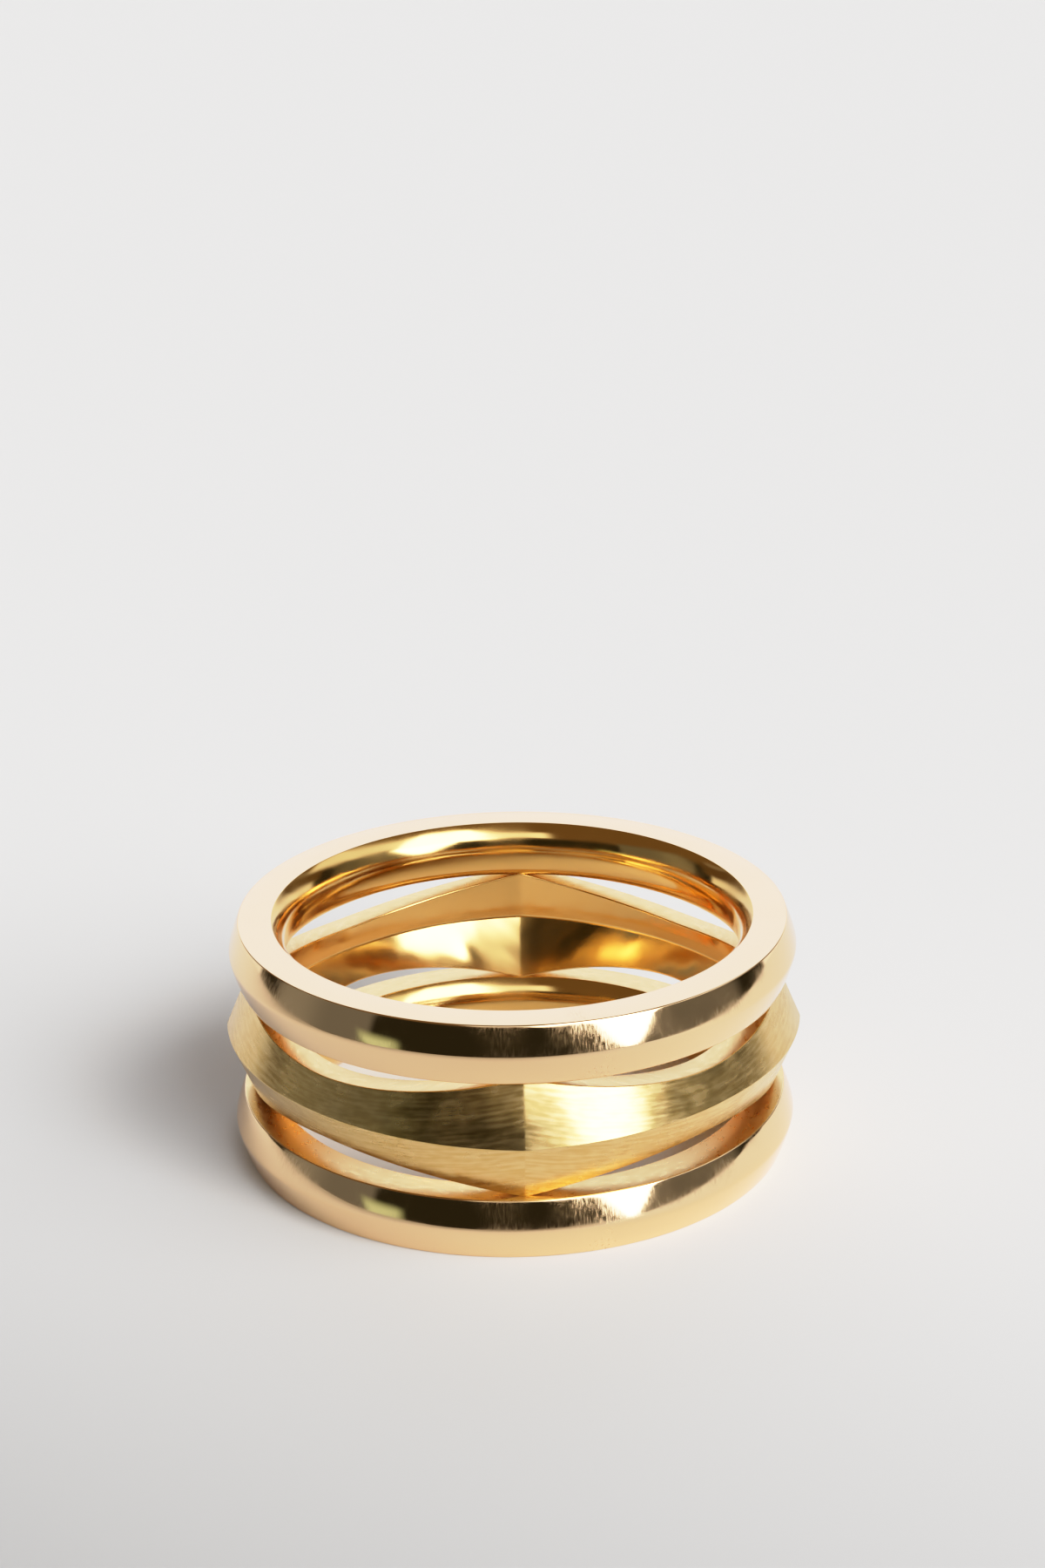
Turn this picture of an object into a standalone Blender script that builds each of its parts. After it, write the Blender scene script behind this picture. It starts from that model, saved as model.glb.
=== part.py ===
"""Triple band ring, lying on its lower face with the finger hole vertical.

Two polished bands lie one above the other. A third band runs between them as a wave
of four pointed nodes, and is soldered to both where the nodes meet them, so the metal
is one solid. Units are metres, +Z is up, and the origin is the centre of the foot.
"""
import math

import bmesh
import bpy

MM = 0.001

# Overall sizes: the finger hole at its narrowest, and the height over all
FINGER_RADIUS = 8.0 * MM
RING_HEIGHT = 8.5 * MM
BAND_SEGMENTS = 96

# Upper and lower band: a flat face above and below, a soft ridge outside at half
# height, and an inside that swells toward the finger in one arc
BAND_HEIGHT = 2.12 * MM
INNER_SWELL = 0.5 * MM
FACE_WIDTH = 1.18 * MM
RIDGE_STAND = 0.36 * MM
RIDGE_LAND = 0.3 * MM
EDGE_CHAMFER = 0.07 * MM
SWELL_STEPS = 8
FACE_INNER_RADIUS = FINGER_RADIUS + INNER_SWELL
FACE_OUTER_RADIUS = FACE_INNER_RADIUS + FACE_WIDTH

# Middle band: a bent wall whose outside rises to a sharp ridge at half height. Its
# front and back nodes stand a little off the quarter turn, toward +X.
MIDDLE_RECESS = 0.4 * MM
MIDDLE_FACE_WIDTH = 0.95 * MM
NODE_AZIMUTHS = (-88.0, 0.0, 88.0, 180.0)
SECTIONS_BETWEEN_NODES = 24
WAIST_HALF_HEIGHT = 1.15 * MM
OUTER_SLOPE = 0.42
INNER_SLOPE = 0.5
NODE_POWER = 1.7
SOLDER_DEPTH = 0.05 * MM
MIDDLE_INNER_RADIUS = FINGER_RADIUS + MIDDLE_RECESS
MIDDLE_OUTER_RADIUS = MIDDLE_INNER_RADIUS + MIDDLE_FACE_WIDTH
MIDDLE_HEIGHT = RING_HEIGHT / 2
NODE_HALF_HEIGHT = MIDDLE_HEIGHT - BAND_HEIGHT + SOLDER_DEPTH

# How near the turned bands' first and last section must lie to be joined
SEAM_REACH = 0.01 * MM

GOLD_COLOUR = (0.90, 0.66, 0.33, 1.0)
GOLD_ROUGHNESS = 0.12
SHARP_ANGLE = 15.0


def clear_scene():
    for thing in list(bpy.data.objects):
        bpy.data.objects.remove(thing, do_unlink=True)


def new_collection(name):
    collection = bpy.data.collections.new(name)
    bpy.context.scene.collection.children.link(collection)
    return collection


def make_gold():
    gold = bpy.data.materials.new("polished_gold")
    gold.use_nodes = True
    shader = gold.node_tree.nodes["Principled BSDF"]
    shader.inputs["Base Color"].default_value = GOLD_COLOUR
    shader.inputs["Metallic"].default_value = 1.0
    shader.inputs["Roughness"].default_value = GOLD_ROUGHNESS
    return gold


def band_section():
    """Radius and height round a polished band, down its outer side and up its inner."""
    half = BAND_HEIGHT / 2
    land = RIDGE_LAND / 2
    land_radius = FACE_OUTER_RADIUS + RIDGE_STAND * (1 - land / half / 2)
    section = [
        (FACE_OUTER_RADIUS - EDGE_CHAMFER, half),
        (FACE_OUTER_RADIUS, half - EDGE_CHAMFER),
        (land_radius, land),
        (land_radius, -land),
        (FACE_OUTER_RADIUS, EDGE_CHAMFER - half),
        (FACE_OUTER_RADIUS - EDGE_CHAMFER, -half),
    ]
    arc_radius = (half ** 2 + INNER_SWELL ** 2) / (2 * INNER_SWELL)
    arc_centre = FINGER_RADIUS + arc_radius
    arc_end = math.asin(half / arc_radius)
    for step in range(SWELL_STEPS + 1):
        turn = arc_end * (2 * step / SWELL_STEPS - 1)
        radius = arc_centre - arc_radius * math.cos(turn)
        section.append((radius, arc_radius * math.sin(turn)))
    return section


def make_band(name, centre_height, collection):
    """A polished band: its section turned about the ring's axis."""
    mesh = bpy.data.meshes.new(name)
    section = band_section()
    points = [(radius, 0.0, height) for radius, height in section]
    edges = [(i, (i + 1) % len(section)) for i in range(len(section))]
    mesh.from_pydata(points, edges, [])
    band = bpy.data.objects.new(name, mesh)
    collection.objects.link(band)
    band.location.z = centre_height
    turn = band.modifiers.new("turn", "SCREW")
    turn.axis = "Z"
    turn.angle = math.tau
    turn.steps = BAND_SEGMENTS
    turn.render_steps = BAND_SEGMENTS
    turn.use_merge_vertices = True
    turn.merge_threshold = SEAM_REACH
    turn.use_smooth_shade = True
    return band


def middle_stations():
    """Azimuth and half height at each section, full at a node, low half way between."""
    stations = []
    for index, azimuth in enumerate(NODE_AZIMUTHS):
        following = NODE_AZIMUTHS[(index + 1) % len(NODE_AZIMUTHS)]
        span = (following - azimuth) % 360
        for step in range(SECTIONS_BETWEEN_NODES):
            share = step / SECTIONS_BETWEEN_NODES
            rise = abs(1 - 2 * share) ** NODE_POWER
            half = WAIST_HALF_HEIGHT + (NODE_HALF_HEIGHT - WAIST_HALF_HEIGHT) * rise
            stations.append((math.radians(azimuth + span * share), half))
    return stations


def middle_section(half):
    """Radius and height of the bent wall's six corners where it is this high."""
    return [
        (MIDDLE_OUTER_RADIUS, half),
        (MIDDLE_OUTER_RADIUS + OUTER_SLOPE * half, 0.0),
        (MIDDLE_OUTER_RADIUS, -half),
        (MIDDLE_INNER_RADIUS, -half),
        (MIDDLE_INNER_RADIUS + INNER_SLOPE * half, 0.0),
        (MIDDLE_INNER_RADIUS, half),
    ]


def make_middle_band(name, collection):
    """The wave band, lofted through its sections."""
    shape = bmesh.new()
    rings = []
    for azimuth, half in middle_stations():
        ring = []
        for radius, height in middle_section(half):
            point = (radius * math.cos(azimuth), radius * math.sin(azimuth), height)
            ring.append(shape.verts.new(point))
        rings.append(ring)
    for index, ring in enumerate(rings):
        following = rings[(index + 1) % len(rings)]
        for corner in range(len(ring)):
            after = (corner + 1) % len(ring)
            face = (ring[corner], ring[after], following[after], following[corner])
            shape.faces.new(face)
    bmesh.ops.recalc_face_normals(shape, faces=shape.faces)
    mesh = bpy.data.meshes.new(name)
    shape.to_mesh(mesh)
    shape.free()
    mesh.shade_smooth()
    mesh.set_sharp_from_angle(angle=math.radians(SHARP_ANGLE))
    band = bpy.data.objects.new(name, mesh)
    collection.objects.link(band)
    band.location.z = MIDDLE_HEIGHT
    return band


def solder(base, other):
    """Joins another band's metal to the base band."""
    union = base.modifiers.new("solder_" + other.name, "BOOLEAN")
    union.operation = "UNION"
    union.solver = "EXACT"
    union.object = other
    other.hide_render = True
    other.display_type = "WIRE"


def build():
    clear_scene()
    parts = new_collection("triple_band_ring")
    shapes = new_collection("band_shapes")
    ring = make_middle_band("three_soldered_bands", parts)
    ring.data.materials.append(make_gold())
    upper = make_band("upper_band_shape", RING_HEIGHT - BAND_HEIGHT / 2, shapes)
    lower = make_band("lower_band_shape", BAND_HEIGHT / 2, shapes)
    solder(ring, upper)
    solder(ring, lower)


build()
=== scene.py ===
"""Triple band ring: two polished gold bands with a satin wave band soldered between them.

The ring lies on its lower face on a pale table, and the front node of the wave band
faces -Y. Lengths are in millimetres in the named sizes and in metres in the meshes.
"""

import math

import bpy
from mathutils import Matrix, Vector


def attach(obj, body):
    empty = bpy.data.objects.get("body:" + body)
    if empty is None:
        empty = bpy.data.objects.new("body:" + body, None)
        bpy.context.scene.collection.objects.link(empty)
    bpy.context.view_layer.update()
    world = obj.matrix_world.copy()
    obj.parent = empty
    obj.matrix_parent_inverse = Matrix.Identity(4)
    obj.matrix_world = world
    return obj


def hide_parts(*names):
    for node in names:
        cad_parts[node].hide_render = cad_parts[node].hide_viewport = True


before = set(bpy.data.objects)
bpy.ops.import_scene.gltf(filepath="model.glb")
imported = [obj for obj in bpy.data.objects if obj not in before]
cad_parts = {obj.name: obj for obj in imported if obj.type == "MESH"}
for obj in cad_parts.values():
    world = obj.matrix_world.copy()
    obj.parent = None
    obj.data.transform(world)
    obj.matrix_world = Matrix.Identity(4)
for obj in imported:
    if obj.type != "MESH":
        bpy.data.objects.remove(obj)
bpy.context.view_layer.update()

MM = 0.001

# The ring's sizes, in millimetres
FINGER_RADIUS = 8.0
RING_HEIGHT = 8.5
BAND_HEIGHT = 2.12
INNER_SWELL = 0.5
FACE_WIDTH = 1.18
RIDGE_STAND = 0.36
MIDDLE_RECESS = 0.4
MIDDLE_FACE_WIDTH = 0.95
FACE_INNER_RADIUS = FINGER_RADIUS + INNER_SWELL
FACE_OUTER_RADIUS = FACE_INNER_RADIUS + FACE_WIDTH
MIDDLE_INNER_RADIUS = FINGER_RADIUS + MIDDLE_RECESS
MIDDLE_OUTER_RADIUS = MIDDLE_INNER_RADIUS + MIDDLE_FACE_WIDTH
NODE_AZIMUTHS = (-88.0, 0.0, 88.0, 180.0)
WAIST_HALF_HEIGHT = 1.15
OUTER_SLOPE = 0.42
INNER_SLOPE = 0.5
NODE_POWER = 1.7
SOLDER_DEPTH = 0.05
NODE_HALF_HEIGHT = RING_HEIGHT / 2 - BAND_HEIGHT + SOLDER_DEPTH

# How far hand polishing has softened each edge and bulged the polished facets. A round
# takes at most the last value's share of the side that it runs into.
FACE_EDGE_ROUND = 0.07
RIDGE_ROUND = 0.4
FACET_BULGE = 0.026
SWELL_EDGE_ROUND = 0.05
SATIN_RIDGE_ROUND = 0.045
SATIN_EDGE_ROUND = 0.05
GROOVE_ROUND = 0.15
CREASE_ROUND_DEGREES = 0.35
LARGEST_SHARE = 0.48

# Heights of the surface marks, in millimetres
WHEEL_WAVES = 0.012
HAIRLINES = 0.0002
BURNISH_WAVES = 0.02
FILE_MARKS = 0.004
SATIN_GRAIN = 0.0002
CARD_TOOTH = 0.04

# Where the polished bands are rubbed, right of the front node: degrees and millimetres
RUB_AZIMUTH = -74.5
RUB_HALF_WIDTH = 0.85

# Fineness of the meshes, and the radius at which their UV maps measure the way round.
# The crowding brings the wave band's sections closer together toward its nodes.
BAND_SEGMENTS = 240
SECTIONS_BETWEEN_NODES = 64
CROWDING = 0.8
SWELL_STEPS = 26
FACET_SHARES = (0.12, 0.24, 0.36, 0.48, 0.6, 0.72, 0.82)
ROUND_STEPS = 6
SURFACE_RADIUS = (FINGER_RADIUS + FACE_OUTER_RADIUS) / 2

# Which faces look at the finger, and which lie level, as shares of a face's normal
INWARD_SHARE = 0.3
LEVEL_SHARE = 0.95


def linear(hex_colour):
    """A #RRGGBB colour as linear RGBA."""
    channels = [int(hex_colour[i:i + 2], 16) / 255 for i in (1, 3, 5)]
    turned = [c / 12.92 if c <= 0.04045 else ((c + 0.055) / 1.055) ** 2.4 for c in channels]
    return (*turned, 1.0)


def add_node(tree, kind, inputs=None, **settings):
    """Adds a node, sets its options, and sets or links its inputs."""
    node = tree.nodes.new(kind)
    for name, value in settings.items():
        setattr(node, name, value)
    for key, value in (inputs or {}).items():
        if isinstance(value, bpy.types.NodeSocket):
            tree.links.new(value, node.inputs[key])
        else:
            node.inputs[key].default_value = value
    return node


def new_material(name):
    material = bpy.data.materials.new(name)
    material.use_nodes = True
    material.node_tree.nodes.clear()
    return material, material.node_tree


# Sections and meshes


def rounded(corners):
    """Points round a closed outline of (radius, height, round) corners, each rounded."""
    points = []
    for index, (x, y, round_radius) in enumerate(corners):
        corner = Vector((x, y))
        before = Vector(corners[index - 1][:2]) - corner
        after = Vector(corners[(index + 1) % len(corners)][:2]) - corner
        if not round_radius:
            points.append(corner)
            continue
        opening = before.angle(after)
        reach = round_radius / math.tan(opening / 2)
        reach = min(reach, before.length * LARGEST_SHARE, after.length * LARGEST_SHARE)
        start = corner + before.normalized() * reach
        end = corner + after.normalized() * reach
        middle = (before.normalized() + after.normalized()).normalized()
        true_radius = reach * math.tan(opening / 2)
        centre = corner + middle * (true_radius / math.sin(opening / 2))
        first = (start - centre).normalized()
        last = (end - centre).normalized()
        for step in range(ROUND_STEPS + 1):
            share = step / ROUND_STEPS
            arm = first.slerp(last, share)
            points.append(centre + arm * true_radius)
    return points


def loft(name, stations, material):
    """A mesh through rings of points: (azimuth in radians, [(radius, height), ...]) each.

    Its UV map runs along the band and round its section, both in millimetres.
    """
    mesh = bpy.data.meshes.new(name)
    points, faces, lengths = [], [], []
    count = len(stations[0][1])
    for azimuth, section in stations:
        along = 0.0
        for index, (radius, height) in enumerate(section):
            points.append((
                radius * math.cos(azimuth) * MM,
                radius * math.sin(azimuth) * MM,
                height * MM,
            ))
            lengths.append(along)
            following = section[(index + 1) % count]
            along += math.hypot(following[0] - radius, following[1] - height)
        lengths.append(along)
    turns = len(stations)
    for turn in range(turns):
        here = turn * count
        beyond = (turn + 1) % turns * count
        for index in range(count):
            after = (index + 1) % count
            faces.append((here + index, here + after, beyond + after, beyond + index))
    mesh.from_pydata(points, [], faces)
    layer = mesh.uv_layers.new(name="surface_mm")
    azimuths = [station[0] for station in stations] + [stations[0][0] + math.tau]
    for face in mesh.polygons:
        turn, index = divmod(face.index, count)
        corners = ((turn, index), (turn, index + 1), (turn + 1, index + 1), (turn + 1, index))
        for loop, (t, i) in zip(face.loop_indices, corners):
            v = lengths[(t % turns) * (count + 1) + i]
            layer.data[loop].uv = (azimuths[t] * SURFACE_RADIUS, v)
    mesh.shade_smooth()
    mesh.materials.append(material)
    piece = bpy.data.objects.new(name, mesh)
    bpy.context.scene.collection.objects.link(piece)
    weighted = piece.modifiers.new("true_flats", "WEIGHTED_NORMAL")
    weighted.keep_sharp = True
    weighted.weight = 100
    return piece


def band_section(centre_height):
    """A polished band: flat faces, soft ridge outside, one swelling arc inside."""
    half = BAND_HEIGHT / 2
    ridge = [(0.0, RIDGE_STAND, RIDGE_ROUND)]
    upper = [(half, 0.0, FACE_EDGE_ROUND)]
    for share in FACET_SHARES:
        bulge = FACET_BULGE * 4 * share * (1 - share)
        upper.append((half * (1 - share), RIDGE_STAND * share + bulge, 0.0))
    lower = [(-height, stand, edge) for height, stand, edge in reversed(upper)]
    outside = upper + ridge + lower
    corners = [(FACE_OUTER_RADIUS + stand, height, edge) for height, stand, edge in outside]
    arc_radius = (half ** 2 + INNER_SWELL ** 2) / (2 * INNER_SWELL)
    arc_end = math.asin(half / arc_radius)
    for step in range(SWELL_STEPS + 1):
        turn = arc_end * (2 * step / SWELL_STEPS - 1)
        edge = SWELL_EDGE_ROUND if step in (0, SWELL_STEPS) else 0.0
        radius = FINGER_RADIUS + arc_radius * (1 - math.cos(turn))
        corners.append((radius, arc_radius * math.sin(turn), edge))
    return [(point.x, point.y + centre_height) for point in rounded(corners)]


def polished_band(name, centre_height, material):
    section = band_section(centre_height)
    stations = [(math.tau * turn / BAND_SEGMENTS, section) for turn in range(BAND_SEGMENTS)]
    return loft(name, stations, material)


def middle_section(half):
    """The wave band's bent wall where it is this high either side of its ridge."""
    corners = [
        (MIDDLE_OUTER_RADIUS, half, SATIN_EDGE_ROUND),
        (MIDDLE_OUTER_RADIUS + OUTER_SLOPE * half, 0.0, SATIN_RIDGE_ROUND),
        (MIDDLE_OUTER_RADIUS, -half, SATIN_EDGE_ROUND),
        (MIDDLE_INNER_RADIUS, -half, SATIN_EDGE_ROUND),
        (MIDDLE_INNER_RADIUS + INNER_SLOPE * half, 0.0, GROOVE_ROUND),
        (MIDDLE_INNER_RADIUS, half, SATIN_EDGE_ROUND),
    ]
    return [(point.x, point.y + RING_HEIGHT / 2) for point in rounded(corners)]


def wave_band(name, material):
    """Sections crowd toward each node, where the crease is barely rounded."""
    stations = []
    for index, azimuth in enumerate(NODE_AZIMUTHS):
        span = (NODE_AZIMUTHS[(index + 1) % len(NODE_AZIMUTHS)] - azimuth) % 360
        for step in range(SECTIONS_BETWEEN_NODES):
            even = step / SECTIONS_BETWEEN_NODES
            share = even - CROWDING * math.sin(math.tau * even) / math.tau
            nearest = min(share, 1 - share) * span
            soft = math.hypot(nearest, CREASE_ROUND_DEGREES) / (span / 2)
            rise = max(0.0, 1 - soft) ** NODE_POWER
            half = WAIST_HALF_HEIGHT + (NODE_HALF_HEIGHT - WAIST_HALF_HEIGHT) * rise
            stations.append((math.radians(azimuth + span * share), middle_section(half)))
    return loft(name, stations, material)


def refinish(piece, material, chosen):
    """Gives the faces that chosen picks another finish."""
    piece.data.materials.append(material)
    for face in piece.data.polygons:
        if chosen(face):
            face.material_index = len(piece.data.materials) - 1


def looks_inward(face):
    return face.normal.xy.dot(face.center.xy) < -INWARD_SHARE * face.center.xy.length


def is_level(face):
    return abs(face.normal.z) > LEVEL_SHARE


# Materials


def polished_gold():
    """18 k yellow gold, machine polished and lightly worn.

    A near mirror: it takes the colour of what it reflects, warmed, and the wear shows
    as fine scratches that catch the light beside a bright reflection. They are drawn
    coarser than the real ones so that they show. A slight waviness left by the wheel
    bends the reflections' edges.
    """
    material, tree = new_material("polished_18k_gold")
    surface = add_node(tree, "ShaderNodeUVMap", uv_map="surface_mm")
    slanted = add_node(tree, "ShaderNodeMapping", {
        "Vector": surface.outputs[0],
        "Scale": (18, 3.5, 1),
        "Rotation": (0, 0, 0.2),
    })
    scratches = add_node(tree, "ShaderNodeTexNoise", {
        "Vector": slanted.outputs[0],
        "Scale": 1.0,
        "Detail": 1.5,
    })
    lines = add_node(tree, "ShaderNodeMapRange", {
        "Value": scratches.outputs[0],
        "From Min": 0.2,
        "From Max": 0.75,
    })
    patches = add_node(tree, "ShaderNodeTexNoise", {
        "Vector": surface.outputs[0],
        "Scale": 0.55,
        "Detail": 2.0,
    })
    worn = add_node(tree, "ShaderNodeMapRange", {
        "Value": patches.outputs[0],
        "From Min": 0.4,
        "From Max": 0.6,
    })
    rubbed = math.radians(RUB_AZIMUTH % 360) * SURFACE_RADIUS
    along = add_node(tree, "ShaderNodeSeparateXYZ", {0: surface.outputs[0]})
    away = add_node(tree, "ShaderNodeMath", {0: along.outputs[0], 1: rubbed}, operation="SUBTRACT")
    reach = add_node(tree, "ShaderNodeMath", {0: away.outputs[0]}, operation="ABSOLUTE")
    rub = add_node(tree, "ShaderNodeMapRange", {
        "Value": reach.outputs[0],
        "From Min": RUB_HALF_WIDTH,
        "From Max": RUB_HALF_WIDTH / 2,
    }, interpolation_type="SMOOTHSTEP")
    wear = add_node(tree, "ShaderNodeMath", {
        0: rub.outputs[0],
        1: worn.outputs[0],
    }, operation="ADD")
    scratched = add_node(tree, "ShaderNodeMath", {
        0: lines.outputs[0],
        1: wear.outputs[0],
    }, operation="MULTIPLY")
    roughness = add_node(tree, "ShaderNodeMapRange", {
        "Value": scratched.outputs[0],
        "From Max": 2.0,
        "To Min": 0.05,
        "To Max": 0.38,
    })
    swell = add_node(tree, "ShaderNodeTexNoise", {
        "Vector": surface.outputs[0],
        "Scale": 0.45,
        "Detail": 0.0,
    })
    waviness = add_node(tree, "ShaderNodeBump", {
        "Height": swell.outputs[0],
        "Strength": 1.0,
        "Distance": WHEEL_WAVES * MM,
    })
    bump = add_node(tree, "ShaderNodeBump", {
        "Height": scratched.outputs[0],
        "Normal": waviness.outputs[0],
        "Strength": 1.0,
        "Distance": HAIRLINES * MM,
    })
    shader = add_node(tree, "ShaderNodeBsdfPrincipled", {
        "Base Color": linear("#FCD09B"),
        "Metallic": 1.0,
        "Roughness": roughness.outputs[0],
        "Normal": bump.outputs[0],
    })
    add_node(tree, "ShaderNodeOutputMaterial", {"Surface": shader.outputs[0]})
    return material


def burnished_gold_painted_glow():
    """18 k yellow gold inside the bands, burnished by hand, its base colour painted deeper.

    Light crosses the hole several times before it gets out, so the inside glows orange; the
    deeper base colour is a painted glow that stands in for that light.
    """
    material, tree = new_material("burnished_18k_gold_painted_glow")
    surface = add_node(tree, "ShaderNodeUVMap", uv_map="surface_mm")
    swell = add_node(tree, "ShaderNodeTexNoise", {
        "Vector": surface.outputs[0],
        "Scale": 0.6,
        "Detail": 1.0,
    })
    roughness = add_node(tree, "ShaderNodeMapRange", {
        "Value": swell.outputs[0],
        "From Min": 0.35,
        "From Max": 0.65,
        "To Min": 0.1,
        "To Max": 0.2,
    })
    bump = add_node(tree, "ShaderNodeBump", {
        "Height": swell.outputs[0],
        "Strength": 1.0,
        "Distance": BURNISH_WAVES * MM,
    })
    # Painted glow: a base colour deeper than the polished gold's, standing in for light bouncing
    # inside the hole.
    shader = add_node(tree, "ShaderNodeBsdfPrincipled", {
        "Base Color": linear("#F0BE70"),
        "Metallic": 1.0,
        "Roughness": roughness.outputs[0],
        "Normal": bump.outputs[0],
    })
    add_node(tree, "ShaderNodeOutputMaterial", {"Surface": shader.outputs[0]})
    return material


def filed_gold():
    """18 k yellow gold, filed flat inside the gaps where no polishing wheel reaches.

    It scatters the light of the bands round it, so it looks peach and a little mottled.
    """
    material, tree = new_material("filed_18k_gold")
    surface = add_node(tree, "ShaderNodeUVMap", uv_map="surface_mm")
    stretched = add_node(tree, "ShaderNodeMapping", {
        "Vector": surface.outputs[0],
        "Scale": (2.2, 5, 1),
    })
    marks = add_node(tree, "ShaderNodeTexNoise", {
        "Vector": stretched.outputs[0],
        "Scale": 1.0,
        "Detail": 2.0,
    })
    roughness = add_node(tree, "ShaderNodeMapRange", {
        "Value": marks.outputs[0],
        "From Min": 0.35,
        "From Max": 0.65,
        "To Min": 0.26,
        "To Max": 0.36,
    })
    bump = add_node(tree, "ShaderNodeBump", {
        "Height": marks.outputs[0],
        "Strength": 1.0,
        "Distance": FILE_MARKS * MM,
    })
    shader = add_node(tree, "ShaderNodeBsdfPrincipled", {
        "Base Color": linear("#F5CC88"),
        "Metallic": 1.0,
        "Roughness": roughness.outputs[0],
        "Normal": bump.outputs[0],
    })
    add_node(tree, "ShaderNodeOutputMaterial", {"Surface": shader.outputs[0]})
    return material


def satin_gold_painted_shade():
    """18 k yellow gold, satin finished with a fine abrasive drawn along the band.

    The grain spreads a reflection across its lines into a soft glow and dims it. The grain's
    two tones are its own, and both are painted deeper than the polished gold, a painted shade
    for that dimming. The lines are drawn coarser than the abrasive's own so that they show.
    """
    material, tree = new_material("satin_18k_gold_painted_shade")
    surface = add_node(tree, "ShaderNodeUVMap", uv_map="surface_mm")
    along = add_node(tree, "ShaderNodeMapping", {
        "Vector": surface.outputs[0],
        "Scale": (0.8, 9, 1),
    })
    grain = add_node(tree, "ShaderNodeTexNoise", {
        "Vector": along.outputs[0],
        "Scale": 1.0,
        "Detail": 0.0,
    })
    close = add_node(tree, "ShaderNodeMapping", {
        "Vector": surface.outputs[0],
        "Scale": (3, 6, 1),
    })
    tooth = add_node(tree, "ShaderNodeTexNoise", {
        "Vector": close.outputs[0],
        "Scale": 1.0,
        "Detail": 0.0,
    })
    cloud = add_node(tree, "ShaderNodeTexNoise", {
        "Vector": surface.outputs[0],
        "Scale": 0.8,
        "Detail": 1.0,
    })
    some = add_node(tree, "ShaderNodeMath", {0: tooth.outputs[0], 1: 0.4}, operation="MULTIPLY")
    both = add_node(tree, "ShaderNodeMath", {
        0: grain.outputs[0],
        1: 0.6,
        2: some.outputs[0],
    }, operation="MULTIPLY_ADD")
    shade = add_node(tree, "ShaderNodeMapRange", {
        "Value": both.outputs[0],
        "From Min": 0.36,
        "From Max": 0.64,
    })
    # Painted shade: the grain's two tones are both darker than the polished gold's, standing in for
    # the satin's dimmer reflection.
    colour = add_node(tree, "ShaderNodeMix", {"Factor": shade.outputs[0]}, data_type="RGBA")
    colour.inputs[6].default_value = linear("#D6AE68")
    colour.inputs[7].default_value = linear("#E6C180")
    fine = add_node(tree, "ShaderNodeMapRange", {
        "Value": both.outputs[0],
        "From Min": 0.36,
        "From Max": 0.64,
        "To Min": -0.02,
        "To Max": 0.02,
    })
    broad = add_node(tree, "ShaderNodeMapRange", {
        "Value": cloud.outputs[0],
        "From Min": 0.35,
        "From Max": 0.65,
        "To Min": 0.2,
        "To Max": 0.28,
    })
    roughness = add_node(tree, "ShaderNodeMath", {
        0: broad.outputs[0],
        1: fine.outputs[0],
    }, operation="ADD")
    bump = add_node(tree, "ShaderNodeBump", {
        "Height": both.outputs[0],
        "Strength": 1.0,
        "Distance": SATIN_GRAIN * MM,
    })
    shader = add_node(tree, "ShaderNodeBsdfPrincipled", {
        "Base Color": colour.outputs[2],
        "Metallic": 1.0,
        "Roughness": roughness.outputs[0],
        "Normal": bump.outputs[0],
    })
    add_node(tree, "ShaderNodeOutputMaterial", {"Surface": shader.outputs[0]})
    return material


def table_card():
    """Matt white card: a pale ground that takes a soft shadow.

    Its colour is painted darker toward the front left, a painted shade for the light that falls off
    there, farther from the windows.
    """
    material, tree = new_material("matt_white_card_painted_shade")
    place = add_node(tree, "ShaderNodeTexCoord")
    tooth = add_node(tree, "ShaderNodeTexNoise", {
        "Vector": place.outputs["Object"],
        "Scale": 2200.0,
        "Detail": 3.0,
    })
    bump = add_node(tree, "ShaderNodeBump", {
        "Height": tooth.outputs[0],
        "Strength": 0.15,
        "Distance": CARD_TOOTH * MM,
    })
    part = add_node(tree, "ShaderNodeSeparateXYZ", {0: place.outputs["Object"]})
    slant = add_node(tree, "ShaderNodeMath", {
        0: part.outputs[0],
        1: 0.6,
        2: part.outputs[1],
    }, operation="MULTIPLY_ADD")
    painted_falloff = add_node(tree, "ShaderNodeMapRange", {
        "Value": slant.outputs[0],
        "From Min": -60 * MM,
        "From Max": 16 * MM,
    }, interpolation_type="SMOOTHSTEP")
    # Painted shade: the card's colour darkens toward the front left, where the light falls off.
    painted_shade_tone = add_node(tree, "ShaderNodeMix", {"Factor": painted_falloff.outputs[0]}, data_type="RGBA")
    painted_shade_tone.inputs[6].default_value = linear("#989898")
    painted_shade_tone.inputs[7].default_value = linear("#E6E6E6")
    shader = add_node(tree, "ShaderNodeBsdfPrincipled", {
        "Base Color": painted_shade_tone.outputs[2],
        "Roughness": 0.9,
        "Specular IOR Level": 0.2,
        "Normal": bump.outputs[0],
    })
    add_node(tree, "ShaderNodeOutputMaterial", {"Surface": shader.outputs[0]})
    return material


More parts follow.
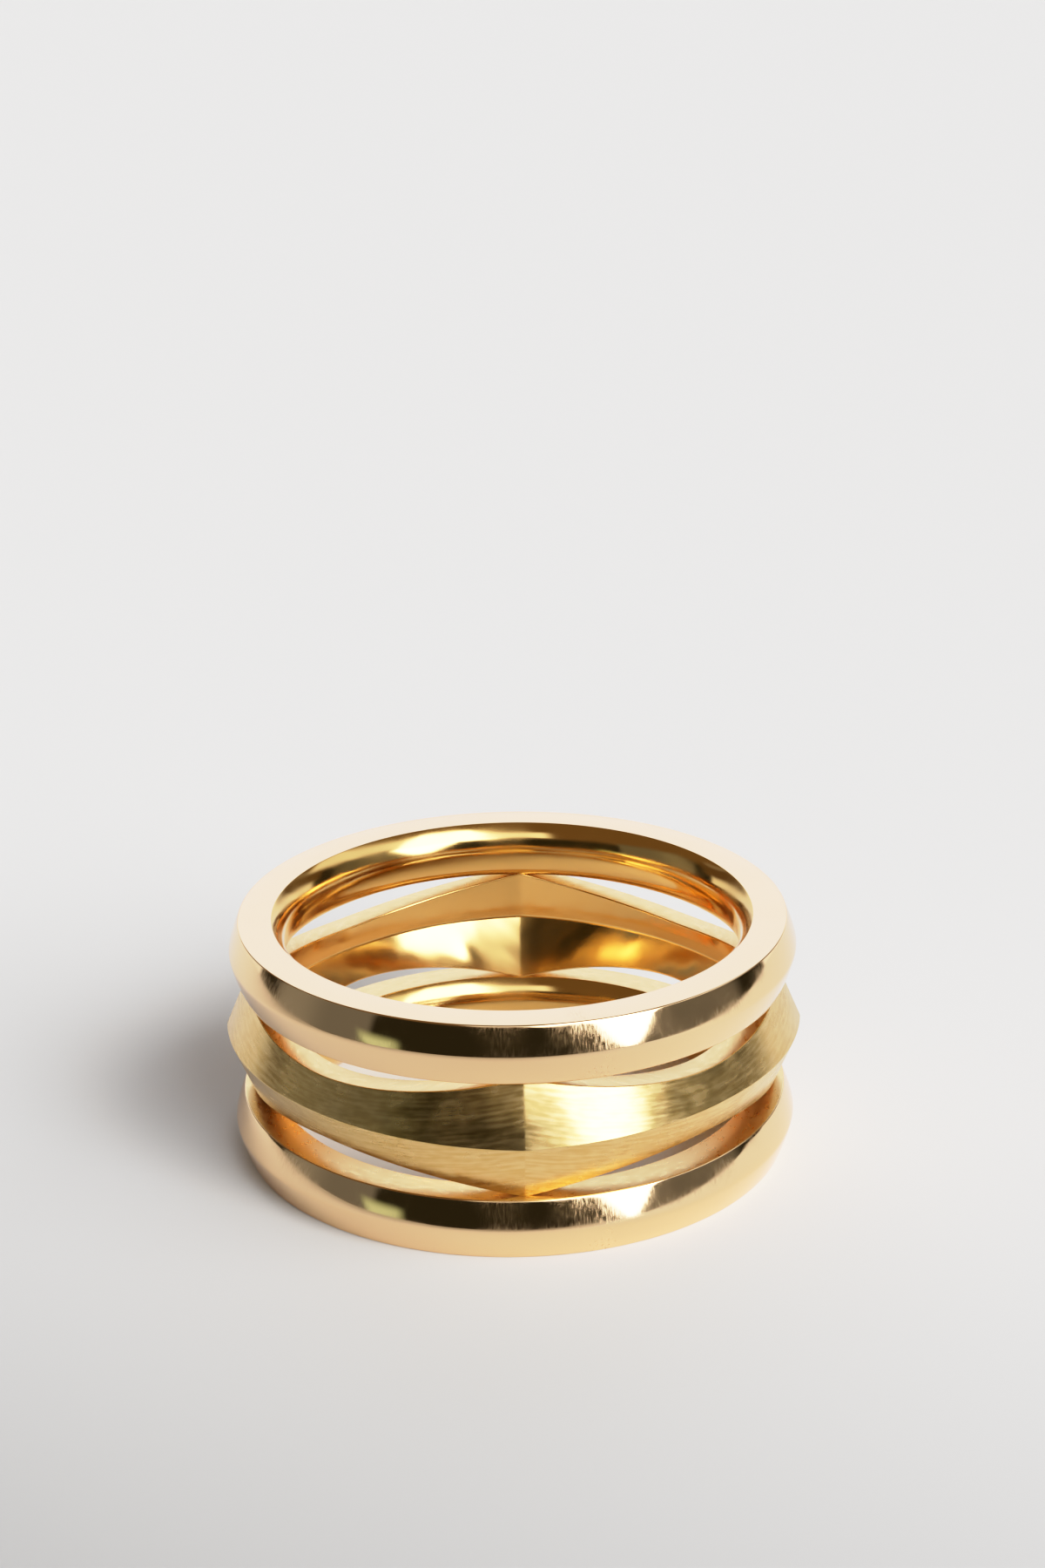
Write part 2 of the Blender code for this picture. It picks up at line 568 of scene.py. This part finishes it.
# The room round the ring, as the gold reflects it. Each row is a soft-edged area of it,
# laid over the rows before: its brightness and tint, and its edges. An edge (turn, rise,
# limit, softness) keeps the side where turn * azimuth + rise * elevation > limit, in
# degrees. Azimuth 0 is the front, -Y, and turns toward +X.
ROOM = (
    # name, brightness, tint, edges
    ("high_wall", 1.85, "#E3EDFF", ((0, 1, 14, 5), (0, -1, -46, 6))),
    ("ceiling", 0.3, "#FFF8F0", ((0, 1, 46, 6),)),
    ("dark_front_room", 0.018, "#FFFAC4", ((1, 0, -118, 1.5), (-1, 0, -118, 1.5))),
    ("dim_high_room", 0.14, "#FFD49A", ((1, 0, -150, 5), (-1, 0, -150, 5), (0, 1, 27, 6))),
    ("dim_back_left", 0.1, "#FFD49A", (
        (1, 0, -150, 5), (-1, 0, 112, 3), (0, 1, 12, 4), (0, -1, -30, 5),
    )),
    ("dim_back_right", 0.1, "#FFD49A", (
        (1, 0, 112, 3), (-1, 0, -150, 5), (0, 1, 12, 4), (0, -1, -30, 5),
    )),
    ("grey_left_side", 0.15, "#F6FDFF", ((1, 0, -103, 3), (-1, 0, 57, 2), (0, -1, -30, 5))),
    ("pale_far_left", 0.23, "#F6FDFF", ((1, 0, -103, 3), (-1, 0, 84, 9), (0, -1, -30, 5))),
    ("grey_right_side", 0.13, "#FAFFFC", ((1, 0, 50, 2), (-1, 0, -98, 4), (0, -1, -30, 5))),
    ("right_high_window", 1.2, "#FFFFFF", (
        (1, 0, 62, 5), (-1, 0, -125, 5), (0, 1, 29, 4), (0, -1, -48, 5),
    )),
    ("low_green_glint", 0.8, "#E3FFD5", ((1, 0.5, -59, 2), (-1, 0, 45, 3), (0, -1, -5, 3))),
    ("front_right_window", 12.0, "#FFFFFF", (
        (1, 0.56, 43.5, 1.5), (-1, 0.7, -46.1, 1.5), (0, -1, -26, 3),
    )),
    ("window_head", 8.0, "#FFFFFF", (
        (1, 1.3, 42, 3), (1, -0.92, -26, 3), (-1, 0, -61, 3), (0, 1, 25, 3), (0, -1, -56, 5),
    )),
    ("window_head_left", 1.8, "#FFFFFF", (
        (1, 0, -20, 4), (-1, 0, -14, 4), (0, 1, 29, 2), (0, -1, -44, 4),
    )),
)

# The white walls behind those areas, a little brighter to the right, and the plain
# backdrop that the camera sees instead of the room
WALL_COLOUR = "#FFFFFF"
WALL_BRIGHTNESS = 1.2
SIDE_SWING = 0.1
BACKDROP_COLOUR = "#E9E9E9"


def studio_room():
    """White walls behind and beside, a dark room with one window toward the front."""
    world = bpy.data.worlds.new("studio_room")
    world.use_nodes = True
    tree = world.node_tree
    tree.nodes.clear()
    place = add_node(tree, "ShaderNodeTexCoord")
    part = add_node(tree, "ShaderNodeSeparateXYZ", {0: place.outputs["Generated"]})
    x, y, z = part.outputs
    toward_front = add_node(tree, "ShaderNodeMath", {0: y, 1: -1.0}, operation="MULTIPLY")
    turn = add_node(tree, "ShaderNodeMath", {0: x, 1: toward_front.outputs[0]}, operation="ARCTAN2")
    azimuth = add_node(tree, "ShaderNodeMath", {0: turn.outputs[0]}, operation="DEGREES")
    tilt = add_node(tree, "ShaderNodeMath", {0: z}, operation="ARCSINE")
    elevation = add_node(tree, "ShaderNodeMath", {0: tilt.outputs[0]}, operation="DEGREES")
    swing = add_node(tree, "ShaderNodeMath", {
        0: x,
        1: SIDE_SWING * WALL_BRIGHTNESS,
        2: WALL_BRIGHTNESS,
    }, operation="MULTIPLY_ADD")
    wall = add_node(tree, "ShaderNodeVectorMath", {
        0: linear(WALL_COLOUR)[:3],
        "Scale": swing.outputs[0],
    }, operation="SCALE")
    colour = wall.outputs[0]
    for name, brightness, tint, edges in ROOM:
        inside = None
        for turn_share, rise_share, limit, softness in edges:
            turned = add_node(tree, "ShaderNodeMath", {
                0: azimuth.outputs[0],
                1: turn_share,
            }, operation="MULTIPLY")
            measure = add_node(tree, "ShaderNodeMath", {
                0: elevation.outputs[0],
                1: rise_share,
                2: turned.outputs[0],
            }, operation="MULTIPLY_ADD")
            edge = add_node(tree, "ShaderNodeMapRange", {
                "Value": measure.outputs[0],
                "From Min": limit - softness,
                "From Max": limit + softness,
            }, interpolation_type="SMOOTHSTEP")
            if inside is None:
                inside = edge.outputs[0]
            else:
                overlap = add_node(tree, "ShaderNodeMath", {
                    0: inside,
                    1: edge.outputs[0],
                }, operation="MULTIPLY")
                inside = overlap.outputs[0]
        glow = tuple(brightness * channel for channel in linear(tint)[:3])
        mix = add_node(tree, "ShaderNodeMix", {"Factor": inside}, data_type="VECTOR", label=name)
        tree.links.new(colour, mix.inputs[4])
        mix.inputs[5].default_value = glow
        colour = mix.outputs[1]
    seen = add_node(tree, "ShaderNodeLightPath")
    room = add_node(tree, "ShaderNodeBackground", {"Color": colour, "Strength": 1.0})
    backdrop = add_node(tree, "ShaderNodeBackground", {
        "Color": linear(BACKDROP_COLOUR),
        "Strength": 1.0,
    })
    shown = add_node(tree, "ShaderNodeMixShader", {
        0: seen.outputs["Is Camera Ray"],
        1: room.outputs[0],
        2: backdrop.outputs[0],
    })
    add_node(tree, "ShaderNodeOutputWorld", {"Surface": shown.outputs[0]})
    bpy.context.scene.world = world


# The card's corners, front left first and round by the right. It widens toward the back.
CARD = ((-75.0, -120.0), (130.0, -120.0), (400.0, 900.0), (-400.0, 900.0))


def table():
    """A sheet of card under the ring, running far back."""
    mesh = bpy.data.meshes.new("card")
    mesh.from_pydata([(x * MM, y * MM, 0.0) for x, y in CARD], [], [(0, 1, 2, 3)])
    mesh.materials.append(table_card())
    sheet = bpy.data.objects.new("card", mesh)
    bpy.context.scene.collection.objects.link(sheet)


# The soft light from the right that throws the ring's shadow on the card. The metal
# doesn't show it: what the gold reflects is the room.
KEY_AZIMUTH = 68.0
KEY_ELEVATION = 37.0
KEY_SPREAD = 50.0
KEY_STRENGTH = 2.1
KEY_COLOUR = "#FFFDFA"


def key_light():
    azimuth, elevation = math.radians(KEY_AZIMUTH), math.radians(KEY_ELEVATION)
    toward = Vector((
        math.sin(azimuth) * math.cos(elevation),
        -math.cos(azimuth) * math.cos(elevation),
        math.sin(elevation),
    ))
    data = bpy.data.lights.new("soft_key", "SUN")
    data.energy = KEY_STRENGTH
    data.color = linear(KEY_COLOUR)[:3]
    data.angle = math.radians(KEY_SPREAD)
    light = bpy.data.objects.new("soft_key", data)
    light.rotation_euler = toward.to_track_quat("Z", "Y").to_euler()
    light.visible_glossy = False
    bpy.context.scene.collection.objects.link(light)


# Camera, as fitted to the photo's circles: millimetres and degrees, from the top of the
# ring's axis
VIEW_DISTANCE = 107.70
VIEW_PITCH = 20.49
VIEW_ROLL = -0.793
VIEW_RIGHT = -0.371
VIEW_UP = -4.430
LENS = 70.0
SENSOR_WIDTH = 36.0


def camera():
    pitch, roll = math.radians(VIEW_PITCH), math.radians(VIEW_ROLL)
    back = Vector((0.0, -math.cos(pitch), math.sin(pitch)))
    level = Vector((1.0, 0.0, 0.0))
    over = back.cross(level)
    right = level * math.cos(roll) + over * math.sin(roll)
    up = over * math.cos(roll) - level * math.sin(roll)
    axis_top = Vector((0.0, 0.0, RING_HEIGHT))
    place = axis_top - right * VIEW_RIGHT - up * VIEW_UP + back * VIEW_DISTANCE
    data = bpy.data.cameras.new("camera")
    data.lens = LENS
    data.sensor_width = SENSOR_WIDTH
    data.clip_start = 0.001
    data.clip_end = 20.0
    view = bpy.data.objects.new("camera", data)
    bpy.context.scene.collection.objects.link(view)
    turned = Matrix((right, up, back)).transposed().to_4x4()
    view.matrix_world = Matrix.Translation(place * MM) @ turned
    bpy.context.scene.camera = view


# The print curve: linear light in, linear display out. Straight through the middle
# tones, with a soft shoulder that keeps bright gold cream instead of yellow.
PRINT_CURVE = ((0.5, 0.5), (0.75, 0.69), (1.05, 0.81), (1.4, 0.905), (2.0, 0.97))
PRINT_WHITE = 3.0


def print_curve():
    view = bpy.context.scene.view_settings
    view.view_transform = "Standard"
    view.look = "None"
    view.use_curve_mapping = True
    mapping = view.curve_mapping
    mapping.white_level = (PRINT_WHITE, PRINT_WHITE, PRINT_WHITE)
    for light, shown in PRINT_CURVE:
        mapping.curves[3].points.new(light / PRINT_WHITE, shown)
    mapping.update()


polish = polished_gold()
burnish_painted_glow = burnished_gold_painted_glow()
filed = filed_gold()
upper = polished_band("upper_band", RING_HEIGHT - BAND_HEIGHT / 2, polish)
lower = polished_band("lower_band", BAND_HEIGHT / 2, polish)
middle = wave_band("middle_band", satin_gold_painted_shade())
for piece in (upper, lower, middle):
    refinish(piece, burnish_painted_glow, looks_inward)
refinish(middle, filed, is_level)
refinish(lower, filed, lambda face: face.normal.z > LEVEL_SHARE)
refinish(upper, filed, lambda face: face.normal.z < -LEVEL_SHARE)
for piece in (upper, middle, lower):
    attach(piece, "root")
    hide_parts("three_soldered_bands")
table()
studio_room()
key_light()
camera()
print_curve()
